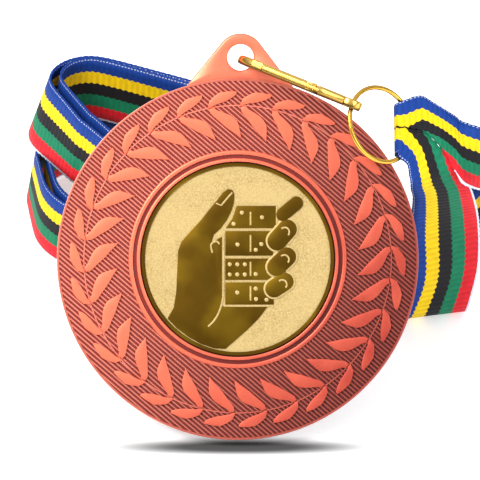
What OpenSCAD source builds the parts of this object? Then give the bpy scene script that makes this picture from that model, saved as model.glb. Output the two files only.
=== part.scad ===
// Award medal on a striped neck ribbon: a cast disc with a laurel wreath and a set-in
// emblem, hung from a gated snap clip and a wire ring. The medal leans back on its
// ribbon, which is wound in two tiers behind it and stands on its edge.
// World axes: X right, Y away from the reader of the medal, Z up.
// Face axes: U right, V up the medal's face from its foot, N out of the face.

/* [Medal] */
// Diameter of the cast disc
disc_d = 50; // [44:0.5:56]
// Thickness of the casting under its relief
disc_t = 2.2; // [1.8:0.1:3]
// Height of the wreath and ridges over the field
relief_h = 0.3; // [0.2:0.05:0.5]
// Lean of the face back from the upright
lean_deg = 35; // [30:1:40]
// Height of the eyelet above the disc centre
eyelet_up = 27.93; // [27:0.1:29]
// Radius of the eyelet's hole
eyelet_r = 1.83; // [1.6:0.05:2]
// Radius of the rounded top of the tab
tab_r = 3.3; // [3:0.1:3.6]

/* [Wreath] */
// Pairs of leaves round the wreath
leaf_pairs = 30; // [24:1:36]
// Radius of the wreath's stem
stem_r = 21.26; // [20:0.1:22]

/* [Emblem] */
// Radius of the set-in emblem disc
emblem_r = 13.35; // [12:0.05:14]
// Thickness of the emblem disc
emblem_t = 0.9; // [0.6:0.1:1.2]
// Thickness of the adhesive pad behind it
adhesive_t = 0.1; // [0.05:0.05:0.2]

/* [Clip] */
// Overall length from the nose to the middle of the ring wire
clip_l = 17.34; // [16:0.1:19]
// Overall width of the loop
clip_w = 8; // [7:0.1:9]
// Width of each leg of the loop
leg_w = 1.15; // [1:0.05:1.4]
// Thickness of the clip
clip_t = 1.15; // [0.9:0.05:1.4]
// Distance of the gate's pin from the nose
pin_at = 12.2; // [11:0.1:13]
// Radius of the gate's pin
pin_r = 0.3; // [0.25:0.05:0.35]

/* [Ring] */
// Radius of the ring to the middle of its wire
ring_r = 5.3; // [5:0.1:6]
// Radius of the ring's wire
wire_r = 0.33; // [0.3:0.01:0.4]

/* [Ribbon] */
// Width of the ribbon
ribbon_w = 10.5; // [10:0.1:11]
// Thickness of one layer of ribbon
ribbon_t = 0.4; // [0.3:0.05:0.5]
// Thickness of the wound wall in each tier
wall_t = 1.6; // [1.2:0.1:2]

/* [Hidden] */
$fn = 96;

// The row's origin: middle of the footprint, on the table
origin_shift = [-6.1686, -32.6875, 0];

disc_r = disc_d / 2;
pocket_depth = adhesive_t + emblem_t + 0.2;
emblem_floor = disc_t - pocket_depth;
inner_ridge = [emblem_r + 0.12, 13.95];
outer_ridge = [14.5, 15.05];
tab_foot = [7.4, 23.88];
tab_top = [2.59, 29.97];
leaf_step = 360 / leaf_pairs;

// Ring: its centre on the face axes, the in-plane direction of its long view, and the turn of its
// plane about that direction
ring_centre = [19.77, 43.6, 2.6];
ring_long = [0.36, -0.933, 0];
ring_across = [0.725, 0.280, -0.629];
eye_angle = 220;
chord_mid = 64.5;
chord_half = 47.5;

function dot(a, b) = a[0] * b[0] + a[1] * b[1] + a[2] * b[2];
function unit(a) = a / norm(a);
function world(p) = [p[0],
                     p[1] * sin(lean_deg) - p[2] * cos(lean_deg),
                     p[1] * cos(lean_deg) + p[2] * sin(lean_deg)];
function on_ring(angle) = ring_centre
    + ring_r * (cos(angle) * ring_long + sin(angle) * ring_across);

// Clip: X from the nose to the eye, Y out of the face, Z across
clip_down = 22.0;
clip_rise = 12.06;
clip_x = [cos(clip_down) * cos(clip_rise), -sin(clip_down) * cos(clip_rise), sin(clip_rise)];
clip_y = [-cos(clip_down) * sin(clip_rise), sin(clip_down) * sin(clip_rise), cos(clip_rise)];
clip_z = cross(clip_x, clip_y);
clip_nose = on_ring(eye_angle) - clip_l * clip_x;
leg_y = clip_w / 2 - leg_w / 2;
loop_end = 13.6;
eye_hole_r = 1.05;
eye_wall = 0.62;
eye_at = clip_l - 0.35;
lap_at = 4.4;
nose_at = 3.0;
tongue_t = 0.44;
fork_gap = 0.5;
play = 0.03;

// Hem: X away from the fold, Y along the fold, Z out of the ribbon
hem_y = unit(on_ring(chord_mid + chord_half) - on_ring(chord_mid - chord_half));
hem_x = unit([0.98, -0.02, -0.19] - dot([0.98, -0.02, -0.19], hem_y) * hem_y);
hem_z = cross(hem_x, hem_y);
hem_at = (on_ring(chord_mid + chord_half) + on_ring(chord_mid - chord_half)) / 2;
sleeve_half = 3.6;
sleeve_front = 0.42;
sleeve_back = -1.75;
sleeve_mouth = 2.2;
plate_back = -0.06;
plate_front = sleeve_front + ribbon_t;
// Outline of the neck where the two strands part
neck = [[1.0, 4.0], [2.5, 4.5], [5.3, 2.8], [8.7, 0.5], [8.7, -8.0], [1.0, -4.3]];

function hem_point(p) = world(hem_at + p[0] * hem_x + p[1] * hem_y + p[2] * hem_z);
function hem_turn(v) = world(v[0] * hem_x + v[1] * hem_y + v[2] * hem_z);

// Tiers: the round corners of each wound tier, [x, y, radius]
upper_lobes = [[-18.8, 56.2, 7.2], [1.5, 24.35, 9.2], [8, 41.5, 8]];
lower_lobes = [[-19.2, 57.5, 9.8], [-19, 50.5, 9.6], [4, 35.5, 8.6], [8, 42, 8]];
tier_gap = 0.05;

module place_row() translate(origin_shift) children();

module face_axes() place_row() rotate([90 - lean_deg, 0, 0]) children();

module axes_at(x, y, z, at)
    multmatrix([[x[0], y[0], z[0], at[0]],
                [x[1], y[1], z[1], at[1]],
                [x[2], y[2], z[2], at[2]],
                [0, 0, 0, 1]])
        children();

module clip_axes() face_axes() axes_at(clip_x, clip_y, clip_z, clip_nose) children();

module hem_axes() face_axes() axes_at(hem_x, hem_y, hem_z, hem_at) children();

module ridge(radii, from, to)
    translate([0, 0, from])
        difference() {
            cylinder(r = radii[1], h = to - from);
            translate([0, 0, -1]) cylinder(r = radii[0], h = to - from + 2);
        }

function polar(r, turn) = [r * sin(turn), r * cos(turn)];

// One pair of leaves on the stem: a blunt outer blade and a long pointed inner one
module leaf_pair()
    polygon([polar(21.26, 0), polar(22.22, 1.1), polar(23.0, 4.2), polar(23.2, 5.2),
             polar(23.2, 10.9), polar(22.4, 9.4), polar(21.75, 5.6), polar(21.25, 2.4),
             polar(20.8, 3.4), polar(20.0, 8.0), polar(19.1, 10.8), polar(17.9, 12.1),
             polar(16.7, 12.9), polar(17.4, 9.8), polar(18.5, 5.7), polar(19.6, 2.8),
             polar(20.5, 0.6)]);

// Cast disc with its tab, eyelet, pocket, ridges and wreath
module medal_casting()
    color([0.86, 0.45, 0.36])
        face_axes() translate([0, disc_r, 0]) rotate([0, 0, -0.8]) {
            difference() {
                union() {
                    cylinder(r = disc_r, h = disc_t);
                    linear_extrude(height = disc_t)
                        polygon([[-tab_foot[0], tab_foot[1]], [-tab_top[0], tab_top[1]],
                                 [tab_top[0], tab_top[1]], [tab_foot[0], tab_foot[1]],
                                 [tab_foot[0], 20], [-tab_foot[0], 20]]);
                    translate([0, eyelet_up, 0]) cylinder(r = tab_r, h = disc_t);
                    ridge(outer_ridge, disc_t - 0.2, disc_t + relief_h);
                    ridge(inner_ridge, disc_t - 0.2, disc_t + relief_h);
                    ridge([disc_r - 0.25, disc_r], disc_t - 0.2, disc_t + relief_h / 2);
                }
                translate([0, eyelet_up, -1]) cylinder(r = eyelet_r, h = disc_t + 2);
                translate([0, 0, emblem_floor]) cylinder(r = inner_ridge[0], h = disc_t);
                translate([0, tab_foot[1] + 0.4, disc_t])
                    linear_extrude(height = 1)
                        polygon([[-6.6, 0.2], [6.6, 0.2], [4, 2.2], [-4, 2.2]]);
            }
            for (i = [0 : leaf_pairs - 1])
                translate([0, 0, disc_t - 0.1]) rotate([0, 0, -i * leaf_step])
                    linear_extrude(height = relief_h + 0.1) leaf_pair();
        }

// Thin gold disc with a raised rim and four raised tiles
module emblem_disc()
    color([0.88, 0.78, 0.5])
        face_axes() translate([0, disc_r, emblem_floor + adhesive_t]) {
            cylinder(r = emblem_r, h = emblem_t);
            ridge([emblem_r - 0.5, emblem_r], emblem_t - 0.1, emblem_t + 0.25);
            for (i = [0 : 3])
                translate([-1.2 - 0.5 * i, 4.6 - 3.6 * i, emblem_t - 0.1])
                    rotate([0, 0, -8 + 5 * i])
                        translate([-3.6, -1.55, 0]) cube([7.2, 3.1, 0.25]);
        }

module emblem_adhesive()
    color([0.95, 0.95, 0.95])
        face_axes() translate([0, disc_r, emblem_floor])
            cylinder(r = emblem_r - 0.75, h = adhesive_t);

// A flat bar of the clip's thickness, its ends at two X stations
module leg(from, to, side, depth = leg_w)
    translate([from, side - depth / 2, -clip_t / 2]) cube([to - from, depth, clip_t]);

// Loop with its bend through the eyelet, the nose the gate closes on, the tongue it turns on
// and the eye the ring runs in
module clip_body()
    color([0.93, 0.72, 0.3])
        clip_axes() difference() {
            union() {
                difference() {
                    translate([clip_w / 2, 0, -clip_t / 2]) cylinder(r = clip_w / 2, h = clip_t);
                    translate([clip_w / 2, 0, -clip_t])
                        cylinder(r = clip_w / 2 - leg_w, h = 2 * clip_t);
                    translate([nose_at, -clip_w, -clip_t]) cube([clip_w, 2 * clip_w, 2 * clip_t]);
                }
                translate([nose_at - 0.05, leg_y + 0.075, -clip_t / 2])
                    cube([lap_at - nose_at + 0.05, leg_w / 2 - 0.075, clip_t]);
                leg(nose_at - 0.05, loop_end, -leg_y);
                leg(pin_at + 0.65, loop_end, leg_y);
                translate([pin_at, leg_y - 0.45, -tongue_t / 2]) cube([1.2, 0.9, tongue_t]);
                translate([pin_at, leg_y, -tongue_t / 2]) cylinder(r = 0.5, h = tongue_t);
                linear_extrude(height = clip_t, center = true)
                    polygon([[loop_end - leg_w, -clip_w / 2], [loop_end, -clip_w / 2],
                             [eye_at, -eye_hole_r - eye_wall], [eye_at, eye_hole_r + eye_wall],
                             [loop_end, clip_w / 2], [loop_end - leg_w / 2, clip_w / 2],
                             [loop_end - leg_w / 2, 0]]);
                translate([eye_at, 0, -clip_t / 2])
                    cylinder(r = eye_hole_r + eye_wall, h = clip_t);
            }
            translate([eye_at, 0, -clip_t]) cylinder(r = eye_hole_r, h = 2 * clip_t);
            translate([pin_at, leg_y, -clip_t]) cylinder(r = pin_r + play, h = 2 * clip_t);
        }

// Gate: laps inside the nose and forks round the tongue at its pin
module clip_gate()
    color([0.9, 0.68, 0.26])
        clip_axes() difference() {
            union() {
                leg(lap_at + 0.08, pin_at, leg_y);
                translate([nose_at + 0.25, leg_y - leg_w / 2, -clip_t / 2])
                    cube([lap_at - nose_at, leg_w / 2, clip_t]);
                translate([pin_at, leg_y, -clip_t / 2]) cylinder(r = leg_w / 2, h = clip_t);
            }
            translate([pin_at - 0.9, leg_y - leg_w, -fork_gap / 2])
                cube([2.4, 2 * leg_w, fork_gap]);
            translate([pin_at, leg_y, -clip_t]) cylinder(r = pin_r, h = 2 * clip_t);
        }

module gate_pin()
    color([0.8, 0.6, 0.25])
        clip_axes() translate([pin_at, leg_y, -clip_t / 2 - 0.08])
            cylinder(r = pin_r, h = clip_t + 0.16);

module ring()
    color([0.93, 0.76, 0.36])
        face_axes() axes_at(ring_long, ring_across, cross(ring_long, ring_across), ring_centre)
            rotate_extrude() translate([ring_r, 0]) circle(r = wire_r, $fn = 32);

// Sleeve sewn round the ring, and the neck where the two strands part
module ribbon_hem()
    color([0.95, 0.85, 0.1])
        hem_axes() difference() {
            union() {
                translate([0, sleeve_half, 0]) rotate([90, 0, 0])
                    linear_extrude(height = 2 * sleeve_half)
                        polygon([[-0.76, 0.1], [-0.5, 0.62], [0, plate_front],
                                 [4.4, plate_front], [4.4, plate_back], [2.7, -1.5],
                                 [2.2, -2.12], [0, -2.12], [-0.5, -1.9], [-0.76, -1.4]]);
                translate([0, 0, plate_back])
                    linear_extrude(height = plate_front - plate_back) polygon(neck);
            }
            translate([-0.38, -5, sleeve_back])
                cube([sleeve_mouth + 0.38, 10, sleeve_front - sleeve_back]);
        }

// Lock stitches that close the sleeve and hold the neck
module hem_stitching()
    color([0.95, 0.95, 0.9])
        hem_axes() for (i = [0 : 5])
            translate([3.1, -2.9 + i * 1.1, plate_front - 0.02])
                rotate([-90, 0, 0]) cylinder(r = 0.12, h = 0.7, $fn = 16);

// Route of a strand: each station is [middle, half of the width as a vector]
function blend_of(a, b, c, d, t) =
    0.5 * (2 * b + (c - a) * t + (2 * a - 5 * b + 4 * c - d) * t * t
           + (3 * b - a - 3 * c + d) * t * t * t);

function smooth(list, steps) =
    [for (i = [0 : len(list) - 2], s = [0 : steps - 1])
        let (a = list[max(i - 1, 0)], b = list[i], c = list[i + 1],
             d = list[min(i + 2, len(list) - 1)])
        blend_of(a, b, c, d, s / steps),
     list[len(list) - 1]];

module strand(stations, steps = 4) {
    middles = smooth([for (s = stations) s[0]], steps);
    halves = smooth([for (s = stations) s[1]], steps);
    last = len(middles) - 1;
    function along(i) = unit(middles[min(i + 1, last)] - middles[max(i - 1, 0)]);
    function across(i) = unit(cross(along(i), halves[i])) * ribbon_t / 2;
    points = [for (i = [0 : last])
        each [middles[i] + halves[i] + across(i), middles[i] - halves[i] + across(i),
              middles[i] - halves[i] - across(i), middles[i] + halves[i] - across(i)]];
    polyhedron(points = points,
               faces = concat([[0, 1, 2, 3]],
                              [for (i = [0 : last - 1], k = [0 : 3])
                                  each [[4 * i + k, 4 * i + 4 + k, 4 * i + 4 + (k + 1) % 4],
                                        [4 * i + k, 4 * i + 4 + (k + 1) % 4,
                                         4 * i + (k + 1) % 4]]],
                              [[4 * last + 3, 4 * last + 2, 4 * last + 1, 4 * last]]),
               convexity = 6);
}

half_w = ribbon_w / 2;
upper_z = ribbon_w * 1.5 + tier_gap;
lower_z = ribbon_w / 2;

// Upper strand: off the neck, over to the right, down behind the lower strand and onto its tier
upper_route = [
    [hem_point([8.85, -3.7, 0.55]), hem_turn([0.06, 1, 0]) * 4.3],
    [hem_point([12.4, -5.8, -0.4]), hem_turn([0.35, 0.9, 0.1]) * 4.9],
    [[37.8, 29.0, 27.0], unit([0.45, 0.1, 0.9]) * half_w],
    [[39.3, 33.4, 21.4], unit([0.3, -0.05, 0.95]) * half_w],
    [[35.0, 35.2, 15.2], unit([0.1, 0, 1]) * half_w],
    [[29.2, 33.2, 11.2], [0, 0, half_w]],
    [[25.2, 33.6, 9.7], [0, 0, half_w]],
    [[21.9, 36.2, 11.4], [0, 0, half_w]],
    [[20.0, 38.6, 13.4], [0, 0, half_w]],
    [[17.3, 42.9, 15.5], [0, 0, half_w]],
    [[13.9, 47.8, upper_z + 0.03], [0, 0, half_w]],
    [[9.4, 50.4, upper_z + 0.03], [0, 0, half_w]],
    [[4.0, 53.1, upper_z + 0.03], [0, 0, half_w]]
];

// Lower strand: hangs from the neck to the table, turns back along it and up onto its edge
lower_route = [
    [hem_point([5.2, -6.9, 0.1]), hem_turn([0.9, -0.43, 0]) * 4.55],
    [[29.2, 26.0, 25.4], unit([0.95, 0.28, -0.08]) * half_w],
    [[29.9, 26.5, 17.2], unit([0.91, 0.4, 0]) * half_w],
    [[29.4, 26.9, 9.6], unit([0.91, 0.4, 0]) * half_w],
    [[28.0, 27.6, 4.0], unit([0.95, 0.3, 0]) * half_w],
    [[27.1, 29.6, 1.3], unit([0.98, 0.2, 0]) * half_w],
    [[27.0, 32.6, 0.75], unit([1, 0.1, 0]) * half_w],
    [[26.4, 36.4, 3.2], unit([0.84, 0.25, -0.5]) * half_w],
    [[24.0, 40.2, 5.2], unit([0.3, 0.25, -0.92]) * half_w],
    [[20.0, 43.6, 5.5], [0.1, 0.1, -half_w]],
    [[15.7, 47.3, lower_z + 0.04], [0, 0, -half_w]],
    [[10.8, 50.7, lower_z + 0.04], [0, 0, -half_w]],
    [[5.0, 54.5, lower_z + 0.04], [0, 0, -half_w]]
];

module ribbon_upper_strand() color([0.9, 0.2, 0.22]) place_row() strand(upper_route);

module ribbon_lower_strand() color([0.1, 0.55, 0.35]) place_row() strand(lower_route);

module rounded_plan(lobes, inset)
    hull() for (lobe = lobes)
        translate([lobe[0], lobe[1]]) circle(r = lobe[2] - inset, $fn = 48);

module tier(lobes, level)
    place_row() translate([0, 0, level])
        linear_extrude(height = ribbon_w)
            difference() {
                rounded_plan(lobes, 0);
                rounded_plan(lobes, wall_t);
            }

module ribbon_upper_tier() color([0.1, 0.3, 0.7]) tier(upper_lobes, ribbon_w + tier_gap);

module ribbon_lower_tier() color([0.1, 0.25, 0.6]) tier(lower_lobes, 0);

medal_casting();
emblem_disc();
emblem_adhesive();
clip_body();
clip_gate();
gate_pin();
ring();
ribbon_hem();
hem_stitching();
ribbon_upper_strand();
ribbon_lower_strand();
ribbon_upper_tier();
ribbon_lower_tier();
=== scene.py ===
"""Award medal on a wound, striped neck ribbon: the visual model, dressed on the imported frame.

Face axes, in millimetres: u to the right, v up the medal's face from its foot, n out of the face.
Every builder works in millimetres and hands its points to Shape, which places them in the row frame.
"""
import logging
import math
from dataclasses import dataclass
from enum import Enum
from typing import Sequence, Union

import bmesh
import bpy
from mathutils import Matrix, Vector


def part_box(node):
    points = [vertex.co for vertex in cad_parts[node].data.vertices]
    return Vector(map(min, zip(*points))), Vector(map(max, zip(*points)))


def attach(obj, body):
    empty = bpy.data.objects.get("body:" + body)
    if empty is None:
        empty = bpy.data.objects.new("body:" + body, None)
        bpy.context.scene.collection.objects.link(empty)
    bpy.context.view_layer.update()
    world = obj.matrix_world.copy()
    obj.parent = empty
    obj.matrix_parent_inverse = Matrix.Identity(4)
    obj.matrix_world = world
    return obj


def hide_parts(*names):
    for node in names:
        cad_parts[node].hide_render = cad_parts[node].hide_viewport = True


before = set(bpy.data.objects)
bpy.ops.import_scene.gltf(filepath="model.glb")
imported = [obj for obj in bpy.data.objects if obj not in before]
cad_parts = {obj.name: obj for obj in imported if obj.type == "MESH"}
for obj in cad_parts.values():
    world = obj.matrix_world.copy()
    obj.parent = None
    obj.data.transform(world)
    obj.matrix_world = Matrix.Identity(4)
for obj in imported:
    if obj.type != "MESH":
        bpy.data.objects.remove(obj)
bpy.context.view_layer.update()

log = logging.getLogger("medal")
# Metres in a millimetre, and millimetres in a centimetre
MM = 0.001
CM = 10.0
# The z axis
UP = (0.0, 0.0, 1.0)
# Height of the disc's middle up the face
DISC_UP = 25.0
# How far raised parts start under their field, so that they join it
SINK = 0.05
# Points round a turned part, and steps from one row of a smooth line to the next
ROUND = 256
SMOOTH = 12
Point = Sequence[float]
Colour = tuple[float, float, float]


class Body(Enum):
    """Moving bodies of the frame."""

    RIBBON = "ribbon"
    RING = "ring"
    CLIP = "clip"
    GATE = "gate"
    MEDAL = "medal"


class Slot(Enum):
    """Material slots of the record, one named for each piece made here."""

    COPPER = "copper_casting"
    EMBLEM = "gold_emblem"
    PLATE = "gold_plate"
    RIBBON = "ribbon"
    THREAD = "thread"


def tone(red: float, green: float, blue: float) -> Colour:
    """A display colour, 0 to 255 a channel, as linear light."""
    def linear(c: float) -> float:
        c = c / 255
        return c / 12.92 if c <= 0.04045 else ((c + 0.055) / 1.055) ** 2.4
    return (linear(red), linear(green), linear(blue))


# ---------------------------------------------------------------- node trees


Number = Union[float, "Value"]


class Value:
    """A float socket that takes part in arithmetic."""

    def __init__(self, tree: "Tree", socket: bpy.types.NodeSocket) -> None:
        """Keeps the socket and the tree that it belongs to."""
        self.tree = tree
        self.socket = socket

    def math(self, operation: str, *others: Number, first: bool = True) -> "Value":
        """Passes this value and others through a Math node.

        Args:
            operation: The Math node's operation.
            others: The other operands.
            first: False where this value is the second operand.

        Returns:
            The node's result.
        """
        operands: list[Number] = [self, *others]
        if not first:
            operands.reverse()
        node = self.tree.node("ShaderNodeMath", {"operation": operation}, dict(enumerate(operands)))
        return Value(self.tree, node.outputs[0])

    def __add__(self, other: Number) -> "Value":
        """This value plus another."""
        return self.math("ADD", other)

    def __sub__(self, other: Number) -> "Value":
        """This value less another."""
        return self.math("SUBTRACT", other)

    def __rsub__(self, other: Number) -> "Value":
        """Another value less this one."""
        return self.math("SUBTRACT", other, first=False)

    def __mul__(self, other: Number) -> "Value":
        """This value times another."""
        return self.math("MULTIPLY", other)

    def __truediv__(self, other: Number) -> "Value":
        """This value over another."""
        return self.math("DIVIDE", other)

    def ramp(self, low: float, high: float) -> "Value":
        """Smooth rise from 0 at low to 1 at high."""
        node = self.tree.node(
            "ShaderNodeMapRange",
            {"interpolation_type": "SMOOTHSTEP"},
            {"Value": self, "From Min": low, "From Max": high},
        )
        return Value(self.tree, node.outputs["Result"])

    def above(self, limit: Number) -> "Value":
        """1 where this value is over the limit, otherwise 0."""
        return self.math("GREATER_THAN", limit)

    def root(self) -> "Value":
        """Square root, of nothing less than 0."""
        return self.math("MAXIMUM", 0.0).math("SQRT")


class Tree:
    """A node tree with one way to add a node."""

    def __init__(self, group: bpy.types.NodeTree) -> None:
        """Keeps the tree."""
        self.group = group

    def node(
        self,
        kind: str,
        settings: dict[str, object] | None = None,
        values: dict[str | int, object] | None = None,
    ) -> bpy.types.Node:
        """Adds a node.

        Args:
            kind: The node's type.
            settings: Properties to set on the node.
            values: Inputs by name or number: a constant, a Value or a socket.

        Returns:
            The new node.
        """
        node = self.group.nodes.new(kind)
        for key, setting in (settings or {}).items():
            setattr(node, key, setting)
        for key, value in (values or {}).items():
            source = value.socket if isinstance(value, Value) else value
            if isinstance(source, bpy.types.NodeSocket):
                self.group.links.new(source, node.inputs[key])
            else:
                node.inputs[key].default_value = source
        return node

    def out(self, node: bpy.types.Node, key: str | int = 0) -> Value:
        """One of a node's outputs as a Value."""
        return Value(self, node.outputs[key])

    def combine(self, x: object = 0.0, y: object = 0.0, z: object = 0.0) -> bpy.types.NodeSocket:
        """A vector from its three parts."""
        return self.node("ShaderNodeCombineXYZ", None, {0: x, 1: y, 2: z}).outputs[0]

    def parts(self, vector: bpy.types.NodeSocket) -> list[Value]:
        """A vector's three parts."""
        split = self.node("ShaderNodeSeparateXYZ", None, {0: vector})
        return [self.out(split, i) for i in range(3)]

    def vector(self, operation: str, *operands: object, key: str = "Vector") -> bpy.types.NodeSocket:
        """A Vector Math node's output."""
        node = self.node("ShaderNodeVectorMath", {"operation": operation}, dict(enumerate(operands)))
        return node.outputs[key]

    def mix(self, share: Number, low: object, high: object) -> bpy.types.NodeSocket:
        """A colour between low and high."""
        def rgba(c: object) -> object:
            return (*c, 1.0) if isinstance(c, tuple) else c
        node = self.node(
            "ShaderNodeMix", {"data_type": "RGBA"}, {0: share, 6: rgba(low), 7: rgba(high)}
        )
        return node.outputs[2]


class GeometryTree(Tree):
    """A geometry node tree with named inputs, run once on a piece."""

    def __init__(self, name: str) -> None:
        """Starts an empty tree."""
        super().__init__(bpy.data.node_groups.new(name, "GeometryNodeTree"))
        face = self.group.interface
        face.new_socket("Geometry", in_out="OUTPUT", socket_type="NodeSocketGeometry")
        self.entry = self.group.nodes.new("NodeGroupInput")
        self.settings: dict[str, object] = {}

    def input(self, name: str, kind: str, value: object) -> Value:
        """Adds a named input that starts with a value."""
        item = self.group.interface.new_socket(name, in_out="INPUT", socket_type=kind)
        self.settings[item.identifier] = value
        return Value(self, self.entry.outputs[name])

    def here(self) -> list[Value]:
        """The three parts of a point's own position."""
        return self.parts(self.node("GeometryNodeInputPosition").outputs[0])

    def place(self, geometry: object, vector: object) -> bpy.types.NodeSocket:
        """Moves geometry's points to a vector."""
        node = self.node("GeometryNodeSetPosition", None, {"Geometry": geometry, "Position": vector})
        return node.outputs[0]

    def finish(self, geometry: object, material: bpy.types.Material) -> None:
        """Ends the tree with real geometry in a material."""
        real = self.node("GeometryNodeRealizeInstances", None, {0: geometry})
        look = self.input("Material", "NodeSocketMaterial", material)
        painted = self.node(
            "GeometryNodeSetMaterial", None, {"Geometry": real.outputs[0], "Material": look}
        )
        self.node("NodeGroupOutput", None, {0: painted.outputs[0]})

    def run(self, name: str) -> bpy.types.Mesh:
        """Evaluates the tree.

        Args:
            name: The new mesh's name.

        Returns:
            The tree's result as a plain mesh.
        """
        host = bpy.data.objects.new(name, bpy.data.meshes.new(name))
        bpy.context.scene.collection.objects.link(host)
        modifier = host.modifiers.new("Nodes", "NODES")
        modifier.node_group = self.group
        for identifier, value in self.settings.items():
            modifier[identifier] = value
        graph = bpy.context.evaluated_depsgraph_get()
        mesh = bpy.data.meshes.new_from_object(host.evaluated_get(graph), depsgraph=graph)
        bpy.data.objects.remove(host)
        return mesh


# ---------------------------------------------------------------- shapes


@dataclass(frozen=True)
class FaceFrame:
    """The medal's face axes, placed by the emblem's own box in the frame."""

    lean: float = math.radians(35)
    centre: tuple[float, float, float] = (0.0, DISC_UP, 1.675)

    def turned(self, p: Point) -> Vector:
        """A face point turned upright, about the face's foot."""
        s = math.sin(self.lean)
        c = math.cos(self.lean)
        return Vector((p[0], p[1] * s - p[2] * c, p[1] * c + p[2] * s))

    def shift(self) -> Vector:
        """From the drawing's zero to the row frame's."""
        low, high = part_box("emblem_disc")
        return (Vector(low) + Vector(high)) / (2 * MM) - self.turned(self.centre)

    def matrix(self) -> Matrix:
        """From face axes to the row frame, in millimetres."""
        turn = Matrix.Rotation(math.pi / 2 - self.lean, 4, "X")
        return Matrix.Translation(self.shift()) @ turn


FACE = FaceFrame()


def axes(x: Point, y: Point, origin: Point) -> Matrix:
    """The matrix of axes x and y and their cross product, at an origin."""
    x = Vector(x).normalized()
    y = Vector(y).normalized()
    z = x.cross(y)
    m = Matrix((x, y, z)).transposed().to_4x4()
    m.translation = Vector(origin)
    return m


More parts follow.
